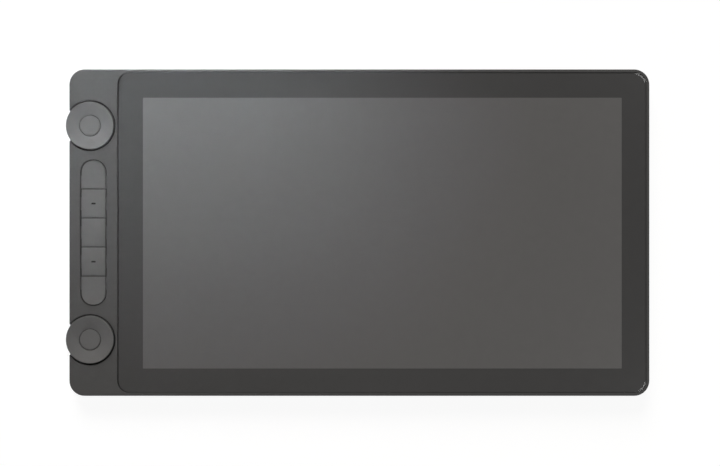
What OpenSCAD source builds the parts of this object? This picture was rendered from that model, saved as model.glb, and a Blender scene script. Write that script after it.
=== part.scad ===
// Pen display: a drawing screen with a control bar of two dials and five keys.
// Lies screen up on its feet. +X runs along the long side, away from the control bar,
// +Y points to the edge with the ports, +Z points out of the screen. Millimetres.

/* [Screen] */
// Width of the clear window
screen_w = 294; // [270:1:320]
// Depth of the clear window
screen_d = 166.3; // [162:0.1:190]
// Black border left and right of the window
border_w = 14.9; // [13:0.1:20]
// Black border above and below the window
border_d = 15.05; // [14:0.05:20]
// Distance of the window's middle below the middle of the glass
screen_drop = 0.3; // [0:0.1:1]
// Thickness of the cover glass
glass_t = 1.1; // [0.8:0.1:2]
// Bevel on the top edge of the cover glass
glass_bevel = 0.25; // [0.1:0.05:0.4]
// Gap between the cover glass and the rim
glass_gap = 0.2; // [0.1:0.05:0.4]
// Groove between the cover glass and the control bar
groove_w = 0.8; // [0.4:0.1:1.2]

/* [Display stack] */
// Thickness of the printed border film
mask_t = 0.12; // [0.1:0.02:0.3]
// Thickness of the optical bond above the LCD
bond_t = 0.25; // [0.15:0.05:0.5]
// Thickness of the tape that holds the glass
tape_t = 0.25; // [0.15:0.05:0.4]
// Thickness of the front glass of the LCD
lcd_front_t = 0.5; // [0.3:0.1:0.8]
// Thickness of the rear glass of the LCD
lcd_rear_t = 0.5; // [0.3:0.1:0.8]
// Reach of the LCD past the window at the left and right
lcd_side = 3; // [2:0.5:6]
// Reach of the LCD past the window at the top
lcd_top = 3.5; // [2:0.5:6]
// Reach of the LCD past the window at the bottom
lcd_bottom = 7.5; // [6:0.5:9]
// Ledge of the rear LCD glass that carries its cable
lcd_ledge = 3; // [2:0.5:4]
// Room between the LCD and the frame
lcd_gap = 0.6; // [0.5:0.1:1]
// Thickness of the backlight film stack
films_t = 0.35; // [0.2:0.05:0.6]
// Thickness of the light guide
guide_t = 0.6; // [0.5:0.1:1.2]
// Thickness of the reflector sheet
reflector_t = 0.2; // [0.1:0.05:0.4]
// Sheet thickness of the backlight tray
tray_t = 0.3; // [0.2:0.05:0.6]
// Room for the row of lamps beside the light guide
lamp_bay = 3.6; // [3:0.1:5]
// Length of one backlight lamp
lamp_l = 3.8; // [2:0.1:5]
// Spacing of the backlight lamps
lamp_pitch = 10; // [8:1:16]
// Thickness of the digitizer board
digitizer_t = 0.4; // [0.3:0.1:1]
// Thickness of the shield sheet
shield_t = 0.15; // [0.1:0.05:0.4]
// Thickness of the mid plate
plate_t = 0.8; // [0.6:0.1:1.5]

/* [Housing] */
// Width of the rim round the glass
rim_w = 1.8; // [1.4:0.1:3]
// Corner radius of the body
corner_r = 9.3; // [6:0.1:14]
// Rounding of the top outer edge
edge_r = 0.3; // [0.2:0.05:1]
// Rounding of the bottom outer edge
base_r = 2; // [0.5:0.1:2.2]
// Height of the front frame above the parting line
frame_h = 3.6; // [3.3:0.1:4.2]
// Thickness of the top skin of the control bar
skin_t = 1.6; // [1.2:0.1:2]
// Thickness of the ledge under the glass
ledge_t = 1.3; // [0.8:0.1:1.8]
// Thickness of the wall between the control bar and the screen
bar_wall = 2; // [1.2:0.1:3]
// Wall thickness of the rear cover
wall_t = 1.6; // [1.2:0.1:2]
// Floor thickness of the rear cover
floor_t = 1.4; // [1.2:0.1:2.5]
// Room between the floor and the mid plate
bay_h = 4.2; // [4:0.1:8]
// Thickness of the lip that enters the rear cover
lip_t = 0.9; // [0.6:0.1:1.4]
// Height of the lip that enters the rear cover
lip_h = 1; // [0.6:0.1:1.4]
// Gap round pieces that fit into each other
fit_gap = 0.1; // [0.05:0.05:0.2]
// Width of the ribs on the floor
rib_w = 1.2; // [0.8:0.1:2]
// Height of the ribs on the floor
rib_h = 0.7; // [0.4:0.1:0.9]
// Spacing of the ribs on the floor
rib_pitch = 44; // [30:1:60]

/* [Dials] */
// Outer radius of a dial
dial_r = 14.7; // [14:0.1:16]
// Distance from the left edge of the body to a dial's centre
dial_inset = 12.6; // [11.5:0.05:14]
// Width of the control bar beside a dial's pocket
dial_margin = 1.05; // [0.6:0.05:8]
// Distance from the end of the body to a dial's centre
dial_end = 34.5; // [30:0.1:40]
// Distance from the key row to a dial's pocket
dial_space = 5.6; // [5:0.1:8]
// Gap between a dial and its pocket
dial_gap = 1.05; // [0.4:0.05:1.4]
// Height of a dial's rim above the front face
dial_proud = 0.9; // [0.5:0.1:2.5]
// Slope of the dished top, in degrees
dial_slope = 9; // [3:0.5:12]
// Rounding of a dial's rim
dial_edge = 0.3; // [0.2:0.05:1]
// Thickness of a dial's walls
dial_wall = 1.5; // [1.2:0.1:1.6]
// Running gap under a dial
lift_gap = 0.3; // [0.2:0.05:0.5]
// Radius of the push button in a dial
button_r = 6.3; // [5.5:0.1:7.5]
// Gap round the push button
button_gap = 0.4; // [0.2:0.05:0.5]
// Thickness of the push button's cap
button_t = 1; // [0.8:0.1:1.2]
// Height of the push button above the dish
button_proud = 0.1; // [0:0.05:0.3]
// Travel of the push button
button_travel = 0.4; // [0.2:0.05:0.5]
// Radius of the push button's stem
stem_r = 2; // [1.6:0.1:2.4]
// Radius of the dial's sleeve
sleeve_r = 4; // [3.7:0.1:4.4]
// Gap of the running fits
run_gap = 0.05; // [0.03:0.01:0.1]
// Thickness of the pocket floor
pocket_floor_t = 1.2; // [1:0.1:1.6]
// Thickness of the wall round a pocket
pocket_wall = 1.2; // [0.8:0.1:2]
// Outer radius of the bush
bush_r = 5.6; // [5.2:0.1:6.2]
// Radius of the bush flange
flange_r = 7; // [6.6:0.1:7.4]
// Thickness of the bush flange
flange_t = 0.5; // [0.4:0.1:0.7]
// Outer radius of the retaining clip
clip_r = 5.4; // [5:0.1:6]
// Thickness of the retaining clip
clip_t = 0.4; // [0.3:0.05:0.5]
// Depth of the clip groove and of the code disc seat in the sleeve
seat_depth = 0.6; // [0.4:0.05:0.7]
// Outer radius of the code disc
disc_r = 8.6; // [8:0.1:9.5]
// Thickness of the code disc
disc_t = 0.4; // [0.3:0.05:0.5]
// Number of windows in the code disc
disc_windows = 24; // [12:1:32]

/* [Keys] */
// Width of a key
key_w = 14.7; // [12:0.1:16]
// Gap between neighbouring keys
key_split = 0.5; // [0.2:0.05:0.6]
// Gap between the keys and the frame
key_gap = 0.7; // [0.3:0.05:0.8]
// Distance from the left edge of the body to the middle of the keys
key_inset = 14.8; // [14:0.1:16]
// Height of the outer ends of the key row above the front face
key_proud = 0.5; // [0.2:0.1:1]
// Rise of the first and the last key towards their outer ends
key_rise = 0.7; // [0.3:0.05:1]
// Rise of the curved tops of the middle keys
key_crown = 0.5; // [0.1:0.05:0.6]
// Rounding and bevel of the key edges
key_edge = 0.3; // [0.2:0.05:0.6]
// Travel of a key
key_travel = 0.8; // [0.4:0.1:0.9]
// Wall thickness of a key
key_wall = 1.3; // [0.8:0.1:1.6]
// Length of the tabs that hold a key in
tab_l = 8; // [5:0.5:8]
// Thickness of the tabs that hold a key in
tab_t = 0.9; // [0.6:0.1:1]
// Reach of the tabs under the frame
tab_w = 1.2; // [0.8:0.1:1.6]
// Length of the engraved touch mark
mark_l = 2.8; // [2:0.1:5]
// Width of the engraved touch mark
mark_w = 1; // [0.5:0.05:1.2]
// Depth of the engraved touch mark
mark_depth = 0.6; // [0.3:0.05:0.8]

/* [Boards] */
// Thickness of the circuit boards
board_t = 1; // [0.8:0.1:1.2]
// Height of the control board above the floor
control_lift = 0.77; // [0.7:0.01:1]
// Height of the main board above the floor
main_lift = 1; // [0.9:0.05:1.1]
// Width of the main board
main_w = 120; // [100:1:130]
// Depth of the main board
main_d = 48; // [44:1:60]
// Side of a key switch
key_switch_w = 6; // [4:0.5:8]
// Height of a key switch
key_switch_h = 2; // [1.8:0.1:2.4]
// Height of a dial switch
dial_switch_h = 0.9; // [0.8:0.05:1]
// Side of a dial switch
dial_switch_w = 5; // [4:0.5:6]
// Width of the display cable
display_cable_w = 20; // [14:1:24]
// Width of the control and digitizer cables
signal_cable_w = 10; // [6:1:12]
// Thickness of the flat cables
cable_t = 0.15; // [0.1:0.05:0.25]
// Height of the flat-cable sockets
socket_h = 1.3; // [1.1:0.1:1.6]
// Depth of the flat-cable sockets
socket_d = 4; // [3:0.5:5]

/* [Ports] */
// Width of a USB-C shell
usb_w = 8.94; // [8.94]
// Height of a USB-C shell
usb_h = 3.26; // [3.26]
// Length of a USB-C shell
usb_l = 7.9; // [7:0.1:9]
// Sheet thickness of a USB-C shell
usb_t = 0.3; // [0.3]
// Height of the USB-C middle above the main board
usb_rise = 0.4; // [0.3:0.05:0.5]
// Distance of the USB-C mouths behind the outer wall
usb_inset = 0.5; // [0.2:0.1:1]
// Spacing of the two USB-C ports
usb_pitch = 24; // [16:1:40]
// Length of the power button
power_l = 11; // [8:0.5:14]
// Height of the power button
power_h = 2.6; // [2:0.1:2.8]
// Travel of the power button
power_travel = 0.4; // [0.2:0.05:0.5]

/* [Feet and screws] */
// Height of the feet below the rear cover
foot_proud = 0.8; // [0.5:0.1:3]
// Depth of the recess that holds a foot
foot_seat = 0.5; // [0.3:0.1:0.6]
// Width of a foot strip
foot_w = 9; // [8:0.5:12]
// Distance from the edge of the body to the middle of a foot strip
foot_inset = 14; // [12:0.5:15]
// Distance from the side of the body to the end of a foot strip
foot_end = 6; // [5:0.5:8]
// Radius of the case screws
case_screw_r = 1; // [0.8:0.05:1.2]
// Radius of the plate and board screws
small_screw_r = 0.8; // [0.6:0.05:1]
// Height of the screw bosses on the floor
case_boss_h = 1.2; // [0.8:0.1:1.5]
// Wall of the screw bosses
boss_wall = 1.2; // [1:0.1:1.4]

/* [Hidden] */
$fn = 64;

// Extra length of a cutter past the face it opens
over = 1;
// Steps of the wide arcs on the key tops
arc_steps = 1440;
// Number of keys in the row
key_count = 5;
// Head height and extra head radius of every screw
head_h = 0.6;
head_reach = 0.8;
// Small gap that lets a piece drop into its place
place_gap = 0.3;
// Smallest corner radius of an inner plan
least_r = 0.5;

// Plan sizes
glass_w = screen_w + 2 * border_w;
glass_d = screen_d + 2 * border_d;
pocket_r = dial_r + dial_gap;
bar_w = dial_inset + pocket_r + dial_margin;
body_w = bar_w + groove_w + glass_w + glass_gap + rim_w;
body_d = glass_d + 2 * (glass_gap + rim_w);
left_x = -body_w / 2;
right_x = body_w / 2;
bar_x = left_x + bar_w;
dial_x = left_x + dial_inset;
cup_r = pocket_r + pocket_wall;
glass_x = right_x - rim_w - glass_gap - glass_w / 2;
recess_w = glass_w + groove_w + glass_gap;
recess_d = glass_d + 2 * glass_gap;
recess_x = glass_x + (glass_gap - groove_w) / 2;
recess_r = corner_r - rim_w;
glass_r = recess_r - glass_gap;
inner = [body_w - 2 * wall_t, body_d - 2 * wall_t];
inner_r = corner_r - wall_t;
lcd = [screen_w + 2 * lcd_side, screen_d + lcd_top + lcd_bottom];
lcd_y = (lcd_top - lcd_bottom) / 2 - screen_drop;
lcd_low = lcd_y - lcd.y / 2;
lcd_high = lcd_y + lcd.y / 2;
plate_margin = wall_t + fit_gap + lip_t + place_gap;
plate_left = dial_x + cup_r + 2 * place_gap;
plate_right = right_x - plate_margin;
plate_w = plate_right - plate_left;
plate_d = body_d - 2 * plate_margin;
plate_x = (plate_left + plate_right) / 2;
plate_r = max(corner_r - plate_margin, least_r);

// Heights, from the desk up
base_z = foot_proud;
floor_z = base_z + floor_t;
plate_z = floor_z + bay_h;
shield_z = plate_z + plate_t;
digitizer_z = shield_z + shield_t;
tray_z = digitizer_z + digitizer_t;
reflector_z = tray_z + tray_t;
guide_z = reflector_z + reflector_t;
films_z = guide_z + guide_t;
lcd_z = films_z + films_t;
lcd_front_z = lcd_z + lcd_rear_t;
bond_z = lcd_front_z + lcd_front_t;
mask_z = bond_z + bond_t;
glass_z = mask_z + mask_t;
front_z = glass_z + glass_t;
ledge_z = mask_z - tape_t;
ledge_low = ledge_z - ledge_t;
skin_z = front_z - skin_t;
part_z = front_z - frame_h;
pocket_low = part_z - pocket_floor_t;
control_z = floor_z + control_lift;
control_top = control_z + board_t;
main_z = floor_z + main_lift;
main_top = main_z + board_t;

// Dials
dial_y = body_d / 2 - dial_end;
dial_overhang = dial_r - dial_inset;
dial_top = front_z + dial_proud;
rim_x = dial_r - dial_edge;
rim_z = dial_top - dial_edge;
dish_end = [rim_x - dial_edge * sin(dial_slope), rim_z + dial_edge * cos(dial_slope)];
well_r = button_r + button_gap;
dish_z = dish_end.y - (dish_end.x - well_r) * tan(dial_slope);
button_top = dish_z + button_proud;
button_z = button_top - button_t;
well_z = button_z - button_travel - place_gap / 2;
hub_z = part_z + flange_t + lift_gap;
hub_r = max(well_r, flange_r) + dial_wall;
ceiling_z = dish_z - dial_wall;
skirt_z = part_z + lift_gap;
groove_r = sleeve_r - seat_depth;
bore_r = stem_r + run_gap;
clip_z = pocket_low - place_gap / 2 - clip_t;
switch_top = control_top + dial_switch_h;
sleeve_z = switch_top + place_gap / 2;
disc_top = clip_z - place_gap;
disc_z = disc_top - disc_t;
plunger_out = button_travel + place_gap / 2;
button_stem_z = switch_top + plunger_out;
// Step from a push button's stem to its plunger, and how far the plunger sits in its switch
plunger_step = 0.8;
plunger_in = 0.25;
plunger_r = stem_r - plunger_step;
// Width of the edge of a code disc that its sensor reads
disc_track = 1.2;

// Keys
key_x = left_x + key_inset;
row_l = 2 * (dial_y - pocket_r - dial_space);
key_pitch = (row_l + key_split) / key_count;
key_l = key_pitch - key_split;
key_top = front_z + key_proud;
key_low = key_top - key_rise;
crown_top = key_low + key_crown;
rise_r = arc_radius(key_l / 2, key_rise);
crown_r = arc_radius(key_l / 2, key_crown);
tab_z = skin_z - fit_gap - tab_t;
key_switch_top = control_top + key_switch_h;
key_plunger_out = key_travel + place_gap / 2;
key_post_z = key_switch_top + key_plunger_out;
// Radius of a key's plunger, how far it sits in its switch, and radius of the key's post
key_plunger_r = 1.7;
key_plunger_in = 0.9;
post_r = 2.2;

// Boards, cables and ports
small_boss_r = small_screw_r + boss_wall;
case_boss_r = case_screw_r + boss_wall;
case_head_r = case_screw_r + head_reach;
rear_boss_r = case_head_r + fit_gap + boss_wall;
case_boss_z = floor_z + case_boss_h;
foot_y = body_d / 2 - foot_inset;
// Distance of the outer case posts from the ends of the mid plate
post_inset = 12;
case_posts = [plate_left + post_inset, glass_x, plate_right - post_inset];
// Room beside the control board, its reach past the dials' centres, and its screw holes' edge distance
control_gap = 1;
control_reach = 11;
control_hole = 2.8;
control_half = dial_y + control_reach;
control_left = left_x + wall_t + control_gap;
control_right = bar_x - control_gap;
control_screws = [
    for (x = [control_left + control_hole, bar_x - bar_wall - small_boss_r / 2], s = [-1, 1])
        [x, s * (row_l / 2 + key_gap + control_hole)]
];
// Room between the main board and the posts beside it, and between it and the wall with the ports
main_gap = 2.5;
port_room = 3.8;
// Edge distance of the main board's screw holes
main_hole = 4;
main_right = plate_right - post_inset - case_boss_r - main_gap;
main_left = main_right - main_w;
main_back = body_d / 2 - wall_t - port_room;
main_front = main_back - main_d;
main_screws = [
    for (x = [main_left + main_hole, main_right - main_hole],
         y = [main_front + main_hole, main_back - 2 * main_hole])
        [x, y]
];
// Edge distance of the mid plate's screws, and their distances from its corners
plate_hole = 2.4;
plate_run_x = 45;
plate_run_y = 35;
plate_screws_at = [
    for (s = [-1, 1], k = [-1, 0, 1])
        [plate_x + k * (plate_w / 2 - plate_run_x), s * (plate_d / 2 - plate_hole)],
    for (x = [plate_left + 2 * plate_hole, plate_right - 2 * plate_hole], s = [-1, 1])
        [x, s * (plate_d / 2 - plate_run_y)]
];
// Places of the cables, ports and power button along the main board
display_cable_at = 23;
digitizer_cable_at = 40;
control_cable_at = 24;
usb_at = 20;
power_at = 16;
display_cable_x = main_left + display_cable_at;
digitizer_cable_x = main_left + digitizer_cable_at;
main_cable_y = main_front + control_cable_at;
// Distance from the upper dial's centre to the control cable
control_cable_run = 5;
control_cable_y = dial_y - control_cable_run;
// Height of a cable above its board, and width of its slot in the mid plate
cable_rise = 0.6;
cable_slot = 2;
// Distances from a board's side edge and from the edge of the display to a socket's mouth
socket_inset = 0.6;
socket_run = 2;
display_mouth = main_front + socket_run;
digitizer_mouth = lcd_high - socket_run;
control_mouth = control_right - socket_inset;
main_mouth = main_left + socket_inset;
usb_z = main_top + usb_rise;
usb_back = body_d / 2 - usb_inset - usb_l;
usb_right = main_right - usb_at;
usb_left = usb_right - usb_pitch;
// Room round a USB-C shell and round the power button
usb_room = 0.2;
power_room = 0.15;
usb_cut_w = usb_w + 2 * usb_room;
// Depth and height of the power switch, and its distance from the board's edge
power_switch_d = 3.5;
power_switch_h = 1.5;
power_setback = 0.5;
// Thickness of the power button's flange, its reach past the button, and radius of the plunger
power_flange_t = 0.8;
power_flange_reach = 1;
power_plunger_r = 0.6;
power_x = main_left + power_at;
power_z = main_top + power_switch_h / 2;
power_out = power_travel + place_gap;
power_back = main_back - power_setback;
power_flange_y = body_d / 2 - wall_t - place_gap - power_flange_t;

// Colours
plastic = [0.31, 0.31, 0.31];
cover_plastic = [0.24, 0.24, 0.25];
key_plastic = [0.4, 0.4, 0.4];
dial_plastic = [0.43, 0.43, 0.43];
black = [0.08, 0.08, 0.08];
metal = [0.72, 0.73, 0.74];
brass = [0.78, 0.62, 0.33];
board = [0.11, 0.13, 0.12];
white = [0.93, 0.93, 0.92];
cable = [0.75, 0.52, 0.2];

// Radius of an arc that rises by the given height over half its chord.
function arc_radius(half, rise) = (half * half + rise * rise) / (2 * rise);

// Rounded rectangle about the origin.
module round_rect(size, r) {
    square([size.x - 2 * r, size.y], center = true);
    square([size.x, size.y - 2 * r], center = true);
    for (x = [-1, 1], y = [-1, 1])
        translate([x * (size.x / 2 - r), y * (size.y / 2 - r)])
            circle(r);
}

// Bar with round ends along X, about the origin.
module stadium(l, w) {
    square([l - w, w], center = true);
    for (x = [-1, 1])
        translate([x * (l - w) / 2, 0])
            circle(w / 2);
}

// Flat sheet with round corners.
module sheet(size, r, z, t) {
    translate([0, 0, z])
        linear_extrude(t)
            round_rect(size, r);
}

// Plain block between two corners.
module block(from, to) {
    translate(from)
        cube(to - from);
}

// Section from a corner's centre out to the edge, with its outer top or bottom edge rounded.
module rounded_section(reach, z0, z1, r, top) {
    translate([0, z0])
        square([reach - r, z1 - z0]);
    translate([0, top ? z0 : z0 + r])
        square([reach, z1 - z0 - r]);
    translate([reach - r, top ? z1 - r : z0 + r])
        circle(r);
}

// Solid with round plan corners whose edge follows the section given as child.
module swept_slab(size, r, z0, z1) {
    core = [size.x - 2 * r, size.y - 2 * r];
    translate([0, 0, z0])
        linear_extrude(z1 - z0)
            square(core, center = true);
    for (x = [0, 1], y = [0, 1])
        mirror([x, 0, 0])
            mirror([0, y, 0])
                translate([core.x / 2, core.y / 2, 0])
                    rotate_extrude(angle = 90)
                        children();
    for (x = [0, 1])
        mirror([x, 0, 0])
            translate([core.x / 2, 0, 0])
                rotate([90, 0, 0])
                    linear_extrude(core.y, center = true)
                        children();
    for (y = [0, 1])
        mirror([0, y, 0])
            translate([0, core.y / 2, 0])
                rotate([90, 0, 90])
                    linear_extrude(core.x, center = true)
                        children();
}

// Screw with its head down and its tip up, head resting at the given height.
module screw(r, head_low, tip) {
    translate([0, 0, head_low])
        cylinder(r = r + head_reach, h = head_h);
    translate([0, 0, head_low])
        cylinder(r = r, h = tip - head_low);
}

// Copies of the children at a list of plan positions.
module at_each(places) {
    for (p = places)
        translate([p.x, p.y, 0])
            children();
}

// Places of the two dials.
dials = [[dial_x, dial_y], [dial_x, -dial_y]];
// Places of the case screws: in the control bar, then along the mid plate.
bar_screws = [[key_x, foot_y], [key_x, -foot_y]];
post_screws = [for (x = case_posts, s = [-1, 1]) [x, s * foot_y]];

// Outer form of the front frame, from the parting line to the front face.
module frame_blank() {
    swept_slab([body_w, body_d], corner_r, part_z, front_z)
        rounded_section(corner_r, part_z, front_z, edge_r, true);
}

// Plan of the space inside the rear cover's walls, less the fit gap.
module inner_plan(inset) {
    round_rect([inner.x - 2 * inset, inner.y - 2 * inset], max(inner_r - inset, least_r));
}

// Cups round the dials, closed below by the pocket floors and trimmed to the body.
module pocket_cups() {
    intersection() {
        at_each(dials)
            translate([0, 0, part_z])
                cylinder(r = cup_r, h = skin_z - part_z + fit_gap);
        sheet([body_w, body_d], corner_r, part_z, skin_z - part_z + fit_gap);
    }
    intersection() {
        at_each(dials)
            translate([0, 0, pocket_low])
                cylinder(r = cup_r, h = pocket_floor_t + fit_gap);
        translate([0, 0, pocket_low])
            linear_extrude(pocket_floor_t + fit_gap)
                inner_plan(fit_gap);
    }
}

// Lip that enters the rear cover, and the shelf by which it hangs from the walls and the ledge.
module frame_lip() {
    translate([0, 0, part_z - lip_h])
        linear_extrude(lip_h + fit_gap)
            difference() {
                inner_plan(fit_gap);
                inner_plan(fit_gap + lip_t);
            }
    translate([0, 0, part_z])
        linear_extrude(ledge_low - part_z + fit_gap)
            difference() {
                inner_plan(-wall_t / 2);
                inner_plan(fit_gap + lip_t);
            }
}

module front_frame() {
    under = ledge_low - part_z;
    color(plastic)
        difference() {
            union() {
                difference() {
                    frame_blank();
                    // Recess of the glass
                    translate([recess_x, 0, 0])
                        sheet([recess_w, recess_d], recess_r, ledge_z, front_z - ledge_z + over);
                    // Opening of the display
                    translate([glass_x, lcd_y, part_z - over])
                        linear_extrude(frame_h + 2 * over)
                            square([lcd.x + 2 * lcd_gap, lcd.y + 2 * lcd_gap], center = true);
                    // Space under the ledge
                    translate([recess_x, 0, 0])
                        sheet([recess_w, recess_d], recess_r, part_z - over, under + over);
                    // Hollow of the control bar
                    block([left_x + rim_w, -recess_d / 2, part_z - over],
                          [bar_x - bar_wall, recess_d / 2, skin_z]);
                }
                frame_lip();
                pocket_cups();
                at_each(control_screws)
                    translate([0, 0, control_top])
                        cylinder(r = small_boss_r, h = skin_z - control_top + fit_gap);
                at_each(bar_screws)
                    translate([0, 0, case_boss_z])
                        cylinder(r = case_boss_r, h = skin_z - case_boss_z + fit_gap);
                at_each(plate_screws_at)
                    translate([0, 0, shield_z])
                        cylinder(r = small_boss_r, h = ledge_low - shield_z + fit_gap);
            }
            at_each(dials) {
                translate([0, 0, part_z])
                    cylinder(r = pocket_r, h = frame_h + over);
                translate([0, 0, pocket_low - over])
                    cylinder(r = bush_r, h = pocket_floor_t + 2 * over);
            }
            translate([key_x, 0, skin_z - over])
                linear_extrude(skin_t + 2 * over)
                    rotate(90)
                        stadium(row_l + 2 * key_gap, key_w + 2 * key_gap);
            at_each(control_screws)
                translate([0, 0, control_top - over])
                    cylinder(r = small_screw_r + run_gap, h = part_z - control_top + over);
            at_each(bar_screws)
                translate([0, 0, case_boss_z - over])
                    cylinder(r = case_screw_r + run_gap, h = part_z - case_boss_z + over);
            at_each(plate_screws_at)
                translate([0, 0, shield_z - over])
                    cylinder(r = small_screw_r + run_gap, h = ledge_low - shield_z + over);
        }
}

// Outline of the oblong power button, or of its opening with some room round it.
module power_plan(room) {
    stadium(power_l + 2 * room, power_h + 2 * room);
}

// Outline of a USB-C shell, grown or shrunk by the given room.
module usb_plan(room) {
    stadium(usb_w + 2 * room, usb_h + 2 * room);
}

// Extrudes an outline drawn in X and Z along +Y from the given depth.
module along_y(x, y, z, l) {
    translate([x, y + l, z])
        rotate([90, 0, 0])
            linear_extrude(l)
                children();
}

// Ribs on the floor and rests under the control board, cut back round the heads of the board screws.
module floor_ribs() {
    rest_w = 2;
    rest_h = control_z - floor_z;
    head_room = small_screw_r + head_reach + place_gap;
    difference() {
        translate([0, 0, floor_z - fit_gap]) {
            translate([key_x - rest_w / 2, -row_l / 2, 0])
                cube([rest_w, row_l, rest_h + fit_gap]);
            at_each(dials)
                cylinder(r = rest_w, h = rest_h + fit_gap);
            for (x = [plate_left + rib_pitch / 2 : rib_pitch : plate_right - rib_w])
                translate([x, -foot_y + foot_w, 0])
                    cube([rib_w, 2 * (foot_y - foot_w), rib_h + fit_gap]);
            for (y = [-rib_pitch : rib_pitch : rib_pitch])
                translate([plate_left, y - rib_w / 2, 0])
                    cube([plate_w, rib_w, rib_h + fit_gap]);
        }
        at_each(concat(main_screws, control_screws))
            translate([0, 0, floor_z])
                cylinder(r = head_room, h = bay_h);
    }
}

module rear_cover() {
    color(cover_plastic)
        difference() {
            union() {
                difference() {
                    swept_slab([body_w, body_d], corner_r, base_z, part_z)
                        rounded_section(corner_r, base_z, part_z, base_r, false);
                    sheet(inner, inner_r, floor_z, part_z - floor_z + over);
                }
                at_each(concat(bar_screws, post_screws))
                    translate([0, 0, base_z + foot_seat])
                        cylinder(r = rear_boss_r, h = case_boss_z - base_z - foot_seat);
                floor_ribs();
            }
            for (s = [-1, 1])
                translate([0, s * foot_y, base_z - over])
                    linear_extrude(foot_seat + over)
                        stadium(body_w - 2 * foot_end, foot_w);
            at_each(concat(bar_screws, post_screws)) {
                translate([0, 0, base_z])
                    cylinder(r = case_head_r + fit_gap, h = foot_seat + head_h);
                translate([0, 0, base_z])
                    cylinder(r = case_screw_r + fit_gap, h = case_boss_z - base_z + over);
            }
            for (x = [usb_left, usb_right])
                along_y(x, body_d / 2 - wall_t - over, usb_z, wall_t + 2 * over)
                    usb_plan(usb_room);
            along_y(power_x, body_d / 2 - wall_t - over, power_z, wall_t + 2 * over)
                power_plan(power_room);
        }
}

module cover_glass() {
    color([0.7, 0.75, 0.78, 0.4])
        translate([glass_x, 0, 0])
            swept_slab([glass_w, glass_d], glass_r, glass_z, front_z)
                polygon([
                    [0, glass_z],
                    [glass_r, glass_z],
                    [glass_r, front_z - glass_bevel],
                    [glass_r - glass_bevel, front_z],
                    [0, front_z]
                ]);
}

// Plan of the clear window, about the middle of the glass.
module window_plan() {
    translate([0, -screen_drop])
        square([screen_w, screen_d], center = true);
}

module border_mask() {
    color(black)
        translate([glass_x, 0, mask_z])
            linear_extrude(mask_t)
                difference() {
                    round_rect([glass_w, glass_d], glass_r);
                    window_plan();
                }
}

// Tape ring that covers the ledge and shows as a dark line in the groove beside the glass.
module glass_tape() {
    color(black)
        translate([0, 0, ledge_z])
            linear_extrude(tape_t)
                difference() {
                    translate([recess_x, 0])
                        round_rect([recess_w - 2 * fit_gap, recess_d - 2 * fit_gap], recess_r - fit_gap);
                    translate([glass_x, lcd_y])
                        square([lcd.x + 2 * lcd_gap, lcd.y + 2 * lcd_gap], center = true);
                }
}

// Plan of the front LCD glass, which leaves the cable ledge of the rear glass free.
module lcd_front_plan() {
    translate([glass_x, lcd_y + lcd_ledge / 2])
        square([lcd.x, lcd.y - lcd_ledge], center = true);
}

module optical_bond() {
    color([0.8, 0.85, 0.88, 0.3]) {
        translate([0, 0, bond_z])
            linear_extrude(bond_t)
                lcd_front_plan();
        translate([glass_x, 0, bond_z])
            linear_extrude(bond_t + mask_t)
                window_plan();
    }
}

module lcd_front_glass() {
    color([0.32, 0.32, 0.32])
        translate([0, 0, lcd_front_z])
            linear_extrude(lcd_front_t)
                lcd_front_plan();
}

module lcd_rear_glass() {
    color([0.25, 0.27, 0.26])
        translate([glass_x, lcd_y, lcd_z])
            linear_extrude(lcd_rear_t)
                square(lcd, center = true);
}

// Flat layer of the backlight: fills the tray beside the lamps.
module light_sheet(z, t) {
    size = [lcd.x - 2 * tray_t - 2 * place_gap, lcd.y - 2 * tray_t - lamp_bay - place_gap];
    translate([glass_x - size.x / 2, lcd_high - tray_t - place_gap - size.y, z])
        cube([size.x, size.y, t]);
}

module backlight_films() {
    color(white)
        light_sheet(films_z, films_t);
}

module light_guide() {
    color([0.85, 0.9, 0.92, 0.6])
        light_sheet(guide_z, guide_t);
}

module reflector_sheet() {
    color(white)
        light_sheet(reflector_z, reflector_t);
}

module led_strip() {
    edge_gap = 0.2;
    lamp_d = 1;
    strip_d = lamp_bay - place_gap - edge_gap;
    strip_l = lcd.x - 2 * tray_t - 2 * place_gap;
    count = floor((strip_l - lamp_l) / lamp_pitch) + 1;
    color([0.9, 0.88, 0.6])
        translate([glass_x, lcd_low + tray_t + edge_gap, reflector_z]) {
            translate([-strip_l / 2, 0, 0])
                cube([strip_l, strip_d, reflector_t]);
            for (k = [0 : count - 1])
                translate([(k - (count - 1) / 2) * lamp_pitch - lamp_l / 2, strip_d - lamp_d, 0])
                    cube([lamp_l, lamp_d, reflector_t + guide_t]);
        }
}

module backlight_tray() {
    color(metal)
        translate([glass_x, lcd_y, tray_z])
            difference() {
                linear_extrude(lcd_z - tray_z)
                    square(lcd, center = true);
                translate([0, 0, tray_t])
                    linear_extrude(lcd_z - tray_z)
                        square([lcd.x - 2 * tray_t, lcd.y - 2 * tray_t], center = true);
            }
}

module digitizer_board() {
    color(board)
        translate([glass_x, lcd_y, digitizer_z])
            linear_extrude(digitizer_t)
                square(lcd, center = true);
}

module shield_sheet() {
    color(metal)
        translate([glass_x, lcd_y, shield_z])
            linear_extrude(shield_t)
                square(lcd, center = true);
}

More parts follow.
